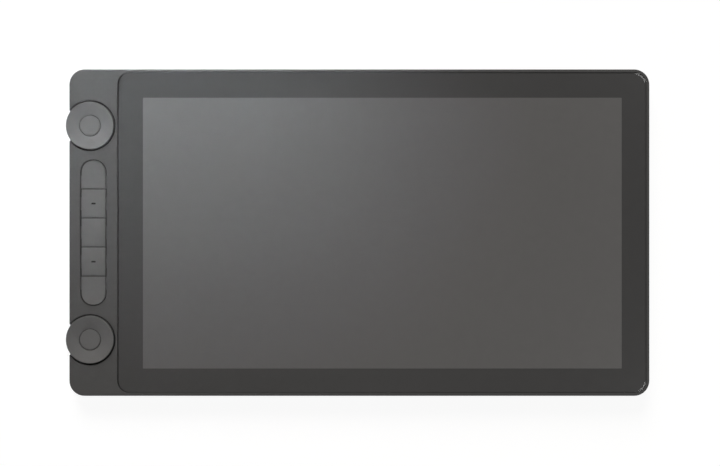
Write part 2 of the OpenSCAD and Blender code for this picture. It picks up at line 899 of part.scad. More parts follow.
// Metal plate behind the display, with posts for the case screws and the main board.
module mid_plate() {
    color(metal)
        difference() {
            union() {
                translate([plate_x, 0, 0])
                    sheet([plate_w, plate_d], plate_r, plate_z, plate_t);
                at_each(post_screws)
                    translate([0, 0, case_boss_z])
                        cylinder(r = case_boss_r, h = plate_z - case_boss_z);
                at_each(main_screws)
                    translate([0, 0, main_top])
                        cylinder(r = small_boss_r, h = plate_z - main_top);
            }
            at_each(plate_screws_at)
                translate([0, 0, plate_z - over])
                    cylinder(r = small_screw_r + fit_gap, h = plate_t + 2 * over);
            at_each(post_screws)
                translate([0, 0, case_boss_z - over])
                    cylinder(r = case_screw_r + run_gap, h = plate_z - case_boss_z + over);
            at_each(main_screws)
                translate([0, 0, main_top - over])
                    cylinder(r = small_screw_r + run_gap, h = plate_z - main_top + over);
            // Notches over the ports and the power button
            for (x = [usb_left, usb_right])
                block([x - usb_cut_w / 2, usb_back - usb_room, plate_z - over],
                      [x + usb_cut_w / 2, plate_d / 2 + over, shield_z + over]);
            block([power_x - power_l, power_back, plate_z - over],
                  [power_x + power_l, plate_d / 2 + over, shield_z + over]);
            // Slots that let the display and digitizer cables through
            translate([display_cable_x - (display_cable_w + cable_slot) / 2,
                       lcd_low - cable_slot, plate_z - over])
                cube([display_cable_w + cable_slot, cable_slot, plate_t + 2 * over]);
            translate([digitizer_cable_x - (signal_cable_w + cable_slot) / 2,
                       lcd_high, plate_z - over])
                cube([signal_cable_w + cable_slot, cable_slot, plate_t + 2 * over]);
        }
}

module main_board() {
    color(board)
        difference() {
            block([main_left, main_front, main_z], [main_right, main_back, main_top]);
            for (x = [usb_left, usb_right])
                block([x - usb_cut_w / 2, usb_back - usb_room, main_z - over],
                      [x + usb_cut_w / 2, main_back + over, main_top + over]);
            at_each(main_screws)
                translate([0, 0, main_z - over])
                    cylinder(r = small_screw_r + fit_gap, h = board_t + 2 * over);
        }
}

// Point on the main board at the given shares of its width and depth.
function on_main(p) = [main_left + p.x * main_w, main_front + p.y * main_d, main_top];

// Folded sheet-metal lid over the processor, open at the bottom.
module shield_can() {
    can_h = 1.6;
    can_t = 0.2;
    can = [0.28 * main_w, 0.5 * main_d, can_h];
    color(metal)
        translate(on_main([0.6, 0.17]))
            difference() {
                cube(can);
                translate([can_t, can_t, -over])
                    cube([can.x - 2 * can_t, can.y - 2 * can_t, can.z - can_t + over]);
            }
}

// Chips on the main board: share of its width and depth, then side and height of each.
module board_chips() {
    chips = [[0.37, 0.19, 9, 1], [0.14, 0.25, 7, 0.9], [0.475, 0.5, 6, 0.9], [0.9, 0.33, 6, 1.2]];
    color(black)
        for (c = chips)
            translate(on_main(c))
                cube([c[2], c[2], c[3]]);
}

// Socket body with a slit for its cable, opening along +X at the given height above its board.
module cable_socket(cable_w) {
    end_wall = 1;
    difference() {
        translate([0, -cable_w / 2 - end_wall, 0])
            cube([socket_d, cable_w + 2 * end_wall, socket_h]);
        translate([socket_d / 2, -cable_w / 2 - fit_gap, cable_rise - fit_gap])
            cube([socket_d, cable_w + 2 * fit_gap, cable_t + 2 * fit_gap]);
    }
}

module cable_sockets() {
    color(white) {
        translate([display_cable_x, display_mouth + socket_d, main_top])
            rotate(-90)
                cable_socket(display_cable_w);
        translate([digitizer_cable_x, digitizer_mouth - socket_d, main_top])
            rotate(90)
                cable_socket(signal_cable_w);
        translate([main_mouth + socket_d, main_cable_y, main_top])
            rotate(180)
                cable_socket(signal_cable_w);
        translate([control_mouth - socket_d, control_cable_y, control_top])
            cable_socket(signal_cable_w);
    }
}

// Tube of the USB-C port, closed at its back end.
module usb_shell(x) {
    color(metal)
        difference() {
            along_y(x, usb_back, usb_z, usb_l)
                usb_plan(0);
            along_y(x, usb_back + usb_t, usb_z, usb_l)
                usb_plan(-usb_t);
        }
}

// Plastic base and contact tongue inside each port.
module usb_tongues() {
    tongue = [6.69, 0.7];
    base_l = 1.8;
    mouth_gap = 1;
    color(black)
        for (x = [usb_left, usb_right]) {
            along_y(x, usb_back + usb_t, usb_z, base_l)
                usb_plan(-usb_t - run_gap);
            along_y(x, usb_back + usb_t, usb_z, usb_l - usb_t - mouth_gap)
                square(tongue, center = true);
        }
}

module control_board() {
    color(board)
        difference() {
            block([control_left, -control_half, control_z], [control_right, control_half, control_top]);
            at_each(control_screws)
                translate([0, 0, control_z - over])
                    cylinder(r = small_screw_r + fit_gap, h = board_t + 2 * over);
        }
}

// Square switch housing with a well for its plunger.
module switch_body(w, h, well) {
    skin = 0.1;
    difference() {
        translate([-w / 2, -w / 2, 0])
            cube([w, w, h]);
        translate([0, 0, skin])
            cylinder(r = well + run_gap, h = h);
    }
}

function key_y(i) = ((key_count - 1) / 2 - i) * key_pitch;

module key_switches() {
    color(black)
        for (i = [0 : key_count - 1])
            translate([key_x, key_y(i), control_top])
                switch_body(key_switch_w, key_switch_h, key_plunger_r);
}

module dial_switches() {
    color(black)
        at_each(dials)
            translate([0, 0, control_top])
                switch_body(dial_switch_w, dial_switch_h, plunger_r);
}

// Forked light gate that reads the windows near the edge of each code disc.
module dial_sensors() {
    jaw_w = 4;
    jaw_d = 4;
    jaw_room = 0.25;
    near = disc_r - disc_track;
    color(black)
        for (m = [0, 1])
            mirror([0, m, 0])
                translate([dial_x - jaw_w / 2, dial_y - near - jaw_d, control_top])
                    difference() {
                        cube([jaw_w, jaw_d, pocket_low - place_gap / 2 - control_top]);
                        translate([-over, jaw_d - disc_track - place_gap, disc_z - jaw_room - control_top])
                            cube([jaw_w + 2 * over, jaw_d, disc_t + 2 * jaw_room]);
                    }
}

// Dial turned from one profile: dished top, skirt, button well, hub and hollow sleeve.
module dial() {
    color(dial_plastic)
        rotate_extrude() {
            polygon([
                [bore_r, sleeve_z],
                [groove_r, sleeve_z],
                [groove_r, disc_top],
                [sleeve_r, disc_top],
                [sleeve_r, clip_z - run_gap],
                [groove_r, clip_z - run_gap],
                [groove_r, clip_z + clip_t + run_gap],
                [sleeve_r, clip_z + clip_t + run_gap],
                [sleeve_r, hub_z],
                [hub_r, hub_z],
                [hub_r, ceiling_z],
                [dial_r - dial_wall, ceiling_z],
                [dial_r - dial_wall, skirt_z],
                [dial_r, skirt_z],
                [dial_r, rim_z],
                dish_end,
                [well_r, dish_z],
                [well_r, well_z],
                [bore_r, well_z]
            ]);
            translate([rim_x, rim_z])
                circle(dial_edge);
        }
}

module bush() {
    bush_bore = sleeve_r + run_gap;
    color(brass)
        rotate_extrude()
            polygon([
                [bush_bore, pocket_low],
                [bush_r, pocket_low],
                [bush_r, part_z],
                [flange_r, part_z],
                [flange_r, part_z + flange_t],
                [bush_bore, part_z + flange_t]
            ]);
}

// Open ring that snaps into the groove of the sleeve below the pocket floor.
module clip() {
    clip_arc = 300;
    color(metal)
        rotate_extrude(angle = clip_arc)
            translate([groove_r + run_gap, clip_z])
                square([clip_r - groove_r - run_gap, clip_t]);
}

module code_disc() {
    window = [0.6, 0.5];
    color(black)
        translate([0, 0, disc_z])
            difference() {
                cylinder(r = disc_r, h = disc_t);
                translate([0, 0, -over])
                    cylinder(r = groove_r + run_gap, h = disc_t + 2 * over);
                for (k = [0 : disc_windows - 1])
                    rotate(k * 360 / disc_windows)
                        translate([disc_r - disc_track, -window.y / 2, -over])
                            cube([window.x, window.y, disc_t + 2 * over]);
            }
}

module dial_button() {
    round = 0.25;
    color(dial_plastic)
        rotate_extrude() {
            polygon([
                [0, button_stem_z],
                [stem_r, button_stem_z],
                [stem_r, button_z],
                [button_r, button_z],
                [button_r, button_top - round],
                [button_r - round, button_top],
                [0, button_top]
            ]);
            translate([button_r - round, button_top - round])
                circle(round);
        }
}

module dial_plunger() {
    color(white)
        translate([0, 0, switch_top - plunger_in])
            cylinder(r = plunger_r, h = plunger_in + plunger_out);
}

// Whole key row as one bar with round ends and a rounded top edge.
module key_row() {
    straight = row_l - key_w;
    rotate([90, 0, 0])
        linear_extrude(straight, center = true)
            for (m = [0, 1])
                mirror([m, 0])
                    rounded_section(key_w / 2, tab_z, key_top, key_edge, true);
    for (m = [0, 1])
        mirror([0, m, 0])
            translate([0, straight / 2, 0])
                rotate_extrude(angle = 180)
                    rounded_section(key_w / 2, tab_z, key_top, key_edge, true);
}

// Side profile of a middle key: a low crown between bevelled ends.
module crowned_profile() {
    half = key_l / 2;
    bevel_z = key_low - key_edge / 2;
    slope = key_crown + key_edge;
    intersection() {
        polygon([
            [-half, tab_z],
            [half, tab_z],
            [half, bevel_z],
            [half - slope, bevel_z + slope],
            [slope - half, bevel_z + slope],
            [-half, bevel_z]
        ]);
        translate([0, crown_top - crown_r])
            circle(crown_r, $fn = arc_steps);
    }
}

// Side profile of the first key: level at its inner end, rising to its round outer end.
module rising_profile() {
    half = key_l / 2;
    bevel = key_edge / 2;
    polygon([
        [-half, tab_z],
        [0, tab_z],
        [0, key_low],
        [bevel - half, key_low],
        [-half, key_low - bevel]
    ]);
    difference() {
        translate([0, tab_z])
            square([half, key_top - tab_z]);
        translate([0, key_low + rise_r])
            circle(rise_r, $fn = arc_steps);
    }
}

// One key of the row, with its hollow back, side tabs and centre post; two have an engraved mark.
module key(i) {
    last = key_count - 1;
    end = i == 0 || i == last;
    shift = end ? (i == 0 ? -1 : 1) * (key_l - tab_l) / 2 : 0;
    low_skin = key_low - key_wall;
    color(key_plastic)
        translate([key_x, 0, 0]) {
            difference() {
                intersection() {
                    key_row();
                    translate([0, key_y(i), 0])
                        mirror([0, i == last ? 1 : 0, 0])
                            rotate([90, 0, 90])
                                linear_extrude(key_w + 2 * over, center = true)
                                    if (end)
                                        rising_profile();
                                    else
                                        crowned_profile();
                }
                translate([0, 0, tab_z - over])
                    linear_extrude(low_skin - tab_z + over)
                        intersection() {
                            rotate(90)
                                stadium(row_l - 2 * key_wall, key_w - 2 * key_wall);
                            translate([0, key_y(i)])
                                square([key_w, key_l - 2 * key_wall], center = true);
                        }
                if (i == 1 || i == 3)
                    translate([0, key_y(i), crown_top - mark_depth])
                        linear_extrude(mark_depth + over)
                            stadium(mark_l, mark_w);
            }
            for (m = [0, 1])
                mirror([m, 0, 0])
                    translate([key_w / 2 - key_wall, key_y(i) + shift - tab_l / 2, tab_z])
                        cube([key_wall + key_gap + tab_w, tab_l, tab_t]);
            translate([0, key_y(i), key_post_z])
                cylinder(r = post_r, h = low_skin - key_post_z + key_wall / 2);
        }
}

module key_plunger(i) {
    color(white)
        translate([key_x, key_y(i), key_switch_top - key_plunger_in])
            cylinder(r = key_plunger_r, h = key_plunger_in + key_plunger_out);
}

// Oblong cap, flush with the edge of the body, with a flange behind the wall and a short stem.
module power_button() {
    stem_y = power_back + power_out;
    color(plastic) {
        along_y(power_x, power_flange_y, power_z, body_d / 2 - fit_gap - power_flange_y)
            power_plan(0);
        along_y(power_x, power_flange_y, power_z, power_flange_t)
            stadium(power_l + 2 * power_flange_reach, power_h);
        along_y(power_x, stem_y, power_z, power_flange_y - stem_y)
            circle(power_plunger_r + fit_gap);
    }
}

module power_plunger() {
    reach = 1;
    color(white)
        along_y(power_x, power_back - reach, power_z, power_out + reach)
            circle(power_plunger_r);
}

module power_switch() {
    width = 6;
    skin = 0.3;
    color(black)
        difference() {
            block([power_x - width / 2, power_back - power_switch_d, main_top],
                  [power_x + width / 2, power_back, main_top + power_switch_h]);
            along_y(power_x, power_back - power_switch_d + skin, power_z, power_switch_d)
                circle(power_plunger_r + run_gap);
        }
}

module foot_strips() {
    color(black)
        for (s = [-1, 1])
            translate([0, s * foot_y, 0])
                linear_extrude(foot_proud + foot_seat)
                    stadium(body_w - 2 * foot_end - 2 * fit_gap, foot_w - 2 * fit_gap);
}

module case_screws() {
    bite = 2;
    color(metal)
        at_each(concat(bar_screws, post_screws))
            screw(case_screw_r, base_z + foot_seat, case_boss_z + bite);
}

module plate_screws() {
    tip = ledge_low - place_gap;
    color(metal)
        at_each(plate_screws_at)
            screw(small_screw_r, plate_z - head_h, tip);
}

module board_screws() {
    bite = 1.6;
    color(metal) {
        at_each(main_screws)
            screw(small_screw_r, main_z - head_h, main_top + bite);
        at_each(control_screws)
            screw(small_screw_r, control_z - head_h, control_top + bite);
    }
}

// Flat cable along a stepped route in the plane of X and height, as wide as given along Y.
module flat_cable(route, w) {
    rotate([90, 0, 0])
        linear_extrude(w, center = true)
            for (k = [0 : len(route) - 2]) {
                a = route[k];
                b = route[k + 1];
                translate([min(a.x, b.x), min(a.y, b.y)])
                    square([abs(a.x - b.x) + cable_t, abs(a.y - b.y) + cable_t]);
            }
}

// From the ledge of the LCD round its lower edge, under the mid plate to the main board.
module display_cable() {
    drop = 2 * cable_t;
    bend_room = 1.5;
    turn_y = main_front - bend_room;
    color(cable)
        translate([display_cable_x, 0, 0])
            rotate(90)
                flat_cable([
                    [lcd_low + lcd_ledge - drop - place_gap, lcd_front_z],
                    [lcd_low - drop, lcd_front_z],
                    [lcd_low - drop, plate_z - drop],
                    [turn_y, plate_z - drop],
                    [turn_y, main_top + cable_rise],
                    [display_mouth + socket_d / 2 - place_gap, main_top + cable_rise]
                ], display_cable_w);
}

// From the upper edge of the digitizer down through the mid plate to the main board.
module digitizer_cable() {
    color(cable)
        translate([digitizer_cable_x, 0, 0])
            rotate(90)
                flat_cable([
                    [lcd_high, digitizer_z + cable_t],
                    [lcd_high + cable_slot / 2, digitizer_z + cable_t],
                    [lcd_high + cable_slot / 2, main_top + cable_rise],
                    [digitizer_mouth - socket_d / 2 + place_gap, main_top + cable_rise]
                ], signal_cable_w);
}

// From the control board to the main board, with one step up and one to the side.
module control_cable() {
    from_x = control_mouth - socket_d / 2 + place_gap;
    to_x = main_mouth + socket_d / 2 - place_gap;
    step_x = (from_x + to_x) / 2;
    low_z = control_top + cable_rise;
    high_z = main_top + cable_rise;
    half = signal_cable_w / 2;
    color(cable) {
        block([from_x, control_cable_y - half, low_z],
              [step_x + cable_t, control_cable_y + half, low_z + cable_t]);
        block([step_x, control_cable_y - half, low_z],
              [step_x + cable_t, control_cable_y + half, high_z + cable_t]);
        block([step_x, control_cable_y - half, high_z],
              [step_x + signal_cable_w, control_cable_y + half, high_z + cable_t]);
        block([step_x, min(control_cable_y, main_cable_y), high_z],
              [step_x + signal_cable_w, max(control_cable_y, main_cable_y), high_z + cable_t]);
        block([step_x, main_cable_y - half, high_z],
              [to_x + cable_t, main_cable_y + half, high_z + cable_t]);
    }
}

// Shift that centres the body together with the dials that stand out at its left.
module placed() {
    translate([dial_overhang / 2, 0, 0])
        children();
}

module upper() {
    translate([dial_x, dial_y, 0])
        children();
}

module lower() {
    translate([dial_x, -dial_y, 0])
        children();
}

placed() front_frame();
placed() rear_cover();
placed() cover_glass();
placed() border_mask();
placed() glass_tape();
placed() optical_bond();
placed() lcd_front_glass();
placed() lcd_rear_glass();
placed() backlight_films();
placed() light_guide();
placed() reflector_sheet();
placed() led_strip();
placed() backlight_tray();
placed() digitizer_board();
placed() shield_sheet();
placed() mid_plate();
placed() main_board();
placed() shield_can();
placed() board_chips();
placed() cable_sockets();
placed() usb_shell(usb_left);  // left_usb_shell
placed() usb_shell(usb_right);  // right_usb_shell
placed() usb_tongues();
placed() control_board();
placed() key_switches();
placed() dial_switches();
placed() dial_sensors();
placed() upper() dial();  // upper_dial
placed() upper() bush();  // upper_bush
placed() upper() clip();  // upper_clip
placed() upper() code_disc();  // upper_code_disc
placed() upper() dial_button();  // upper_button
placed() upper() dial_plunger();  // upper_plunger
placed() lower() dial();  // lower_dial
placed() lower() bush();  // lower_bush
placed() lower() clip();  // lower_clip
placed() lower() code_disc();  // lower_code_disc
placed() lower() dial_button();  // lower_button
placed() lower() dial_plunger();  // lower_plunger
placed() key(0);  // key_1
placed() key(1);  // key_2
placed() key(2);  // key_3
placed() key(3);  // key_4
placed() key(4);  // key_5
placed() key_plunger(0);  // key_plunger_1
placed() key_plunger(1);  // key_plunger_2
placed() key_plunger(2);  // key_plunger_3
placed() key_plunger(3);  // key_plunger_4
placed() key_plunger(4);  // key_plunger_5
placed() power_button();
placed() power_plunger();
placed() power_switch();
placed() foot_strips();
placed() case_screws();
placed() plate_screws();
placed() board_screws();
placed() display_cable();
placed() digitizer_cable();
placed() control_cable();
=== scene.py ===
"""Studio scene of the pen display: finishes for every part, clear layers, light, floor and camera."""

import math

import bpy
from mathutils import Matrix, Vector


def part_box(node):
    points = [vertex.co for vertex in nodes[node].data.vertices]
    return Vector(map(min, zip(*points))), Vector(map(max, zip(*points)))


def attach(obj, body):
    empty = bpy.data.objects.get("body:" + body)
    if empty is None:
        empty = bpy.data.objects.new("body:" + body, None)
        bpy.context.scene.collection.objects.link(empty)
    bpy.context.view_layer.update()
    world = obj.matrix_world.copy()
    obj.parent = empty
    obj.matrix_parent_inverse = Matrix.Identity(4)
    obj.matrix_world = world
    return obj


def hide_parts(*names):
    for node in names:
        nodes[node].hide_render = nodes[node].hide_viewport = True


MM = 0.001
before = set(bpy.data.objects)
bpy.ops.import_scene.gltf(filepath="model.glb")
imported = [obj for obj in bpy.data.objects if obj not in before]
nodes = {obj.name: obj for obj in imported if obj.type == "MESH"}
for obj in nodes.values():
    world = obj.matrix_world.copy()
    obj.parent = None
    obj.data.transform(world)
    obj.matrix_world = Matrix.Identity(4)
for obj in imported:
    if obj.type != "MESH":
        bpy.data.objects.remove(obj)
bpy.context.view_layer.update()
scene = bpy.context.scene
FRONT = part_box("front_frame")[1].z


# Finishes


def grey(level, warm=0.0):
    """Neutral linear colour, a little warm or cool."""
    return (level * (1 + warm), level, level * (1 - warm), 1.0)


def shade(colour, share):
    """A colour times a share."""
    return tuple(min(1.0, c * share) for c in colour[:3]) + (1.0,)


BLACK = grey(0.0)
WHITE = grey(1.0)
CLEAR = grey(0.97)
# Tone of the painted shade on the floors of gaps, pockets, wells and engraved marks
SHADE_TONE = grey(0.006)

# Sockets of a Mix node that mixes colours
MIX_FACTOR = 0
MIX_LOW = 6
MIX_HIGH = 7
MIX_RESULT = 2

# Range that most of a noise lies in
NOISE_LOW = 0.3
NOISE_HIGH = 0.7

# Waves in a metre of the grain, of the mottle in gloss and in colour, and of the mottle in glass
GRAIN = 2500.0
GLOSS_WAVES = GRAIN / 5
COLOUR_WAVES = GRAIN / 12
GLASS_WAVES = 180.0

# Swing of a roughness to either side
SWING = 0.06

# Least Z of a level face's normal
LEVEL = 0.9

# Mottle in the tone of glass, and swing of its roughness as a share
GLASS_MOTTLE = 0.015
GLASS_SWING = 0.02

# Share that clear layers mirror when seen square on, and how fast it grows with the slant
SHEEN = 0.04
SLANT_POWER = 5.0


class Shader:
    """A material whose nodes are added by name."""

    def __init__(self, name):
        self.material = bpy.data.materials.new(name)
        self.material.use_nodes = True
        self.tree = self.material.node_tree
        self.tree.nodes.clear()

    def add(self, kind, links=(), **settings):
        """Adds a node, sets its properties or sockets, and links its inputs from other sockets."""
        node = self.tree.nodes.new(kind)
        for key, value in settings.items():
            socket = next((i for i in node.inputs if i.name.lower() == key.replace("_", " ")), None)
            if socket is not None:
                socket.default_value = value
            else:
                setattr(node, key, value)
        for name, source in dict(links).items():
            self.tree.links.new(source, node.inputs[name])
        return node

    def over(self, output):
        """Coordinates or normals over the part."""
        return self.add("ShaderNodeTexCoord").outputs[output]

    def along(self, output, axis):
        """One axis of the coordinates or normals over the part."""
        return self.add("ShaderNodeSeparateXYZ", {"Vector": self.over(output)}).outputs[axis]

    def noise(self, scale):
        """Noise factor over the part's own coordinates, in metres."""
        node = self.add("ShaderNodeTexNoise", {"Vector": self.over("Object")},
                        scale=scale, detail=3.0, roughness=0.55)
        return node.outputs["Fac"]

    def ramp(self, value, start, end, low, high):
        """A value mapped from one range to another."""
        node = self.add("ShaderNodeMapRange", {"Value": value})
        for name, number in (("From Min", start), ("From Max", end), ("To Min", low), ("To Max", high)):
            node.inputs[name].default_value = number
        return node.outputs["Result"]

    def spread(self, noise, low, high):
        """A noise factor mapped to a range."""
        return self.ramp(noise, NOISE_LOW, NOISE_HIGH, low, high)

    def reckon(self, operation, value, number):
        """A value reckoned with a fixed number."""
        node = self.add("ShaderNodeMath", {0: value}, operation=operation)
        node.inputs[1].default_value = number
        return node.outputs["Value"]

    def mix(self, factor, low, high):
        """A colour between two, each fixed or from a socket."""
        node = self.add("ShaderNodeMix", data_type="RGBA")
        self.tree.links.new(factor, node.inputs[MIX_FACTOR])
        for index, colour in ((MIX_LOW, low), (MIX_HIGH, high)):
            if isinstance(colour, tuple):
                node.inputs[index].default_value = colour
            else:
                self.tree.links.new(colour, node.inputs[index])
        return node.outputs[MIX_RESULT]

    def fade(self, colour, start, end, loss):
        """A colour with painted shade that darkens it by a share between two places along X, where the
        light falls off.
        """
        return self.mix(self.ramp(self.along("Object", "X"), start, end, 0.0, loss), colour, BLACK)

    def pit_shade(self, colour, height):
        """A colour with painted shade: it turns dark on level faces below a height, the floors of pockets
        and wells, where shade falls.
        """
        low = self.reckon("LESS_THAN", self.along("Object", "Z"), height)
        level = self.reckon("GREATER_THAN", self.along("Normal", "Z"), LEVEL)
        both = self.add("ShaderNodeMath", {0: low, 1: level}, operation="MULTIPLY")
        return self.mix(both.outputs["Value"], colour, SHADE_TONE)

    def out(self, shader):
        """Ends the material with a shader's socket."""
        self.add("ShaderNodeOutputMaterial", {"Surface": shader})
        return self.material


def finish(name, colour, rough, metal=0.0, mottle=0.04, depth=0.0, gloss=0.5, fade=None, pit_shade=None):
    """Procedural surface: a faint mottle in colour and roughness.

    depth gives it a fine grain. Two arguments paint shade into it: one darkens it along X, away from the
    light, and the other darkens level faces below a height, where shade falls.
    """
    s = Shader(name)
    cloud = s.spread(s.noise(COLOUR_WAVES), 0.0, 1.0)
    tone = s.mix(cloud, shade(colour, 1 - mottle), shade(colour, 1 + mottle))
    if fade:
        tone = s.fade(tone, *fade)
    if pit_shade:
        tone = s.pit_shade(tone, pit_shade)
    links = {"Base Color": tone, "Roughness": s.spread(s.noise(GLOSS_WAVES), rough - SWING, rough + SWING)}
    if depth:
        bump = s.add("ShaderNodeBump", {"Height": s.noise(GRAIN)}, strength=0.35, distance=depth)
        links["Normal"] = bump.outputs["Normal"]
    body = s.add("ShaderNodeBsdfPrincipled", links, metallic=metal, specular_ior_level=gloss)
    return s.out(body.outputs["BSDF"])


def clear(name, rough):
    """Clear layer: lets light through and mirrors more at a slant, with a faint mottle."""
    s = Shader(name)
    cloud = s.noise(GLASS_WAVES)
    tone = s.mix(cloud, shade(CLEAR, 1 - GLASS_MOTTLE), CLEAR)
    through = s.add("ShaderNodeBsdfTransparent", {"Color": tone})
    uneven = s.spread(cloud, rough * (1 - GLASS_SWING), rough * (1 + GLASS_SWING))
    mirror = s.add("ShaderNodeBsdfGlossy", {"Roughness": uneven})
    slant = s.add("ShaderNodeLayerWeight", blend=0.5)
    share = s.ramp(s.reckon("POWER", slant.outputs["Facing"], SLANT_POWER), 0.0, 1.0, SHEEN, 1.0)
    both = s.add("ShaderNodeMixShader", {0: share, 1: through.outputs["BSDF"], 2: mirror.outputs["BSDF"]})
    return s.out(both.outputs["Shader"])


# Height below which level faces get painted shade, as on the floors of pockets and wells
PIT_SHADE_HEIGHT = FRONT - 1.2 * MM
# Start and end along X, and loss, of the painted shade that darkens the frame and the print away from the
# control bar, where the light falls off
FRAME_FALLOFF = (-147 * MM, 170 * MM, 0.4)
INK_FALLOFF = (20 * MM, 170 * MM, 0.24)
FINISHES = {
    # The frame has painted shade: darker away from the control bar, and dark on the floors of its pockets
    "frame_plastic": dict(colour=grey(0.0592), rough=0.6, depth=0.04 * MM, fade=FRAME_FALLOFF, pit_shade=PIT_SHADE_HEIGHT),
    "cover_plastic": dict(colour=grey(0.045, -0.02), rough=0.62, depth=0.05 * MM),
    "key_plastic": dict(colour=grey(0.098), rough=0.55, depth=0.02 * MM),
    # The dials have painted shade on the floors of their wells
    "dial_plastic": dict(colour=grey(0.1005), rough=0.58, depth=0.02 * MM, pit_shade=PIT_SHADE_HEIGHT),
    # The print has painted shade, darker away from the control bar
    "border_ink": dict(colour=grey(0.078), rough=0.7, mottle=0.02, gloss=0.1, fade=INK_FALLOFF),
    "tape": dict(colour=grey(0.02), rough=0.9, mottle=0.1),
    "lcd_glass": dict(colour=grey(0.167), rough=0.6, mottle=0.015, gloss=0.1),
    "film": dict(colour=grey(0.8), rough=0.6),
    "light_guide": dict(colour=(0.8, 0.84, 0.86, 1.0), rough=0.2),
    "led_strip": dict(colour=(0.8, 0.72, 0.4, 1.0), rough=0.5),
    "tray_metal": dict(colour=grey(0.6), rough=0.4, metal=1.0),
    "shield_metal": dict(colour=grey(0.62), rough=0.35, metal=1.0),
    "plate_metal": dict(colour=grey(0.55), rough=0.45, metal=1.0),
    "circuit_board": dict(colour=(0.008, 0.012, 0.010, 1.0), rough=0.5, mottle=0.15),
    "black_plastic": dict(colour=grey(0.02), rough=0.5, mottle=0.1),
    "white_plastic": dict(colour=grey(0.75, 0.01), rough=0.5),
    "port_steel": dict(colour=grey(0.58), rough=0.3, metal=1.0),
    "bush_brass": dict(colour=(0.68, 0.5, 0.22, 1.0), rough=0.3, metal=1.0),
    "spring_steel": dict(colour=grey(0.5), rough=0.3, metal=1.0),
    "screw_steel": dict(colour=grey(0.42), rough=0.35, metal=1.0),
    "foot_rubber": dict(colour=grey(0.022), rough=0.85, mottle=0.1, depth=0.06 * MM),
    "cable_film": dict(colour=(0.5, 0.27, 0.06, 1.0), rough=0.3),
}
LOOKS = {slot: finish(slot, **look) for slot, look in FINISHES.items()}
for part in nodes.values():
    for holder in part.material_slots:
        slot = holder.material.name.split(".")[0] if holder.material else None
        if slot in LOOKS:
            holder.material = LOOKS[slot]


# Making of pieces


def arc(cx, cy, radius, start, end, steps):
    """Points of an arc in plan, between two angles in degrees."""
    turns = [math.radians(start + (end - start) * k / steps) for k in range(steps + 1)]
    return [(cx + radius * math.cos(a), cy + radius * math.sin(a)) for a in turns]


def outline(low, high, radius, steps=14):
    """Rounded rectangle in plan, anticlockwise."""
    left, right = low.x + radius, high.x - radius
    bottom, top = low.y + radius, high.y - radius
    points = []
    for cx, cy, start in ((right, top, 0), (left, top, 90), (left, bottom, 180), (right, bottom, 270)):
        points += arc(cx, cy, radius, start, start + 90, steps)
    return points


def sector(cx, cy, inner, outer, start, end, steps=9):
    """Part of a ring in plan, anticlockwise, between two angles in degrees."""
    return arc(cx, cy, outer, start, end, steps) + arc(cx, cy, inner, end, start, steps)


def at(points, z):
    """Points in plan brought to a height."""
    return [(x, y, z) for x, y in points]


def stack(loops, closed):
    """Vertices and faces of walls between loops of equal length, with end caps or closed into a ring."""
    count = len(loops[0])
    verts = [p for loop in loops for p in loop]
    pairs = list(zip(range(len(loops)), range(1, len(loops))))
    faces = []
    if closed:
        pairs.append((len(loops) - 1, 0))
    else:
        faces = [tuple(reversed(range(count))), tuple(range(len(verts) - count, len(verts)))]
    for a, b in pairs:
        for i in range(count):
            j = (i + 1) % count
            faces.append((a * count + i, a * count + j, b * count + j, b * count + i))
    return verts, faces


def piece(name, verts, faces, material, body="chassis", node=None):
    """A mesh that rides on a body and may stand for a part of the construction."""
    mesh = bpy.data.meshes.new(name)
    mesh.from_pydata(verts, [], faces)
    mesh.update()
    obj = bpy.data.objects.new(name, mesh)
    scene.collection.objects.link(obj)
    mesh.materials.append(material)
    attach(obj, body)
    if node:
        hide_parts(node)
    return obj


# Front layers of the display: the etched pane with its polished edge, the print and the screen

# Gap that keeps faces apart
HAIR = 0.02 * MM
# Thickness of the pane, and drop, width and corner radius of its bevelled edge
PANE = 0.3 * MM
DROP = 0.27 * MM
BEVEL = 0.9 * MM
CORNER = 7.3 * MM
# Width of the print at the sides, and at the top and bottom
BORDER = Vector((14.9, 15.05, 0)) * MM
# Drop of the window below the middle of the glass, and its corner radius
WINDOW_DROP = Vector((0, 0.3, 0)) * MM
WINDOW_R = 0.3 * MM
# Roughness of the pane's etched face and of its polished edge
ETCHED = 0.26
POLISHED = 0.1
# Number of end caps that come first in a stack's faces
CAPS = 2

low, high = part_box("cover_glass")
bevel = Vector((BEVEL, BEVEL, 0))
edge = outline(low, high, CORNER)
face = high.z - PANE
verts, faces = stack([
    at(edge, face),
    at(edge, high.z - DROP),
    at(outline(low + bevel, high - bevel, CORNER - BEVEL), high.z),
], False)
pane = piece("glass_pane", verts, faces, clear("etched_pane", ETCHED), node="cover_glass")
pane.data.materials.append(clear("polished_edge", POLISHED))
for polygon in pane.data.polygons[CAPS:]:
    polygon.material_index = 1

window_low = low + BORDER - WINDOW_DROP
window_high = high - BORDER - WINDOW_DROP
window = outline(window_low, window_high, WINDOW_R)
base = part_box("border_mask")[0].z + HAIR
verts, faces = stack([
    at(edge, base),
    at(edge, face - HAIR),
    at(window, face - HAIR),
    at(window, base),
], True)
piece("border_print", verts, faces, LOOKS["border_ink"], node="border_mask")

margin = Vector((HAIR, HAIR, 0))
inside = outline(window_low + margin, window_high - margin, WINDOW_R)
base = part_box("optical_bond")[0].z + HAIR
verts, faces = stack([at(inside, base), at(inside, face - HAIR)], False)
piece("screen_face", verts, faces, LOOKS["lcd_glass"], node="optical_bond")


# Painted shade in the engraved marks of the second and fourth key: a dark fill on the floor of each slot,
# where shade falls

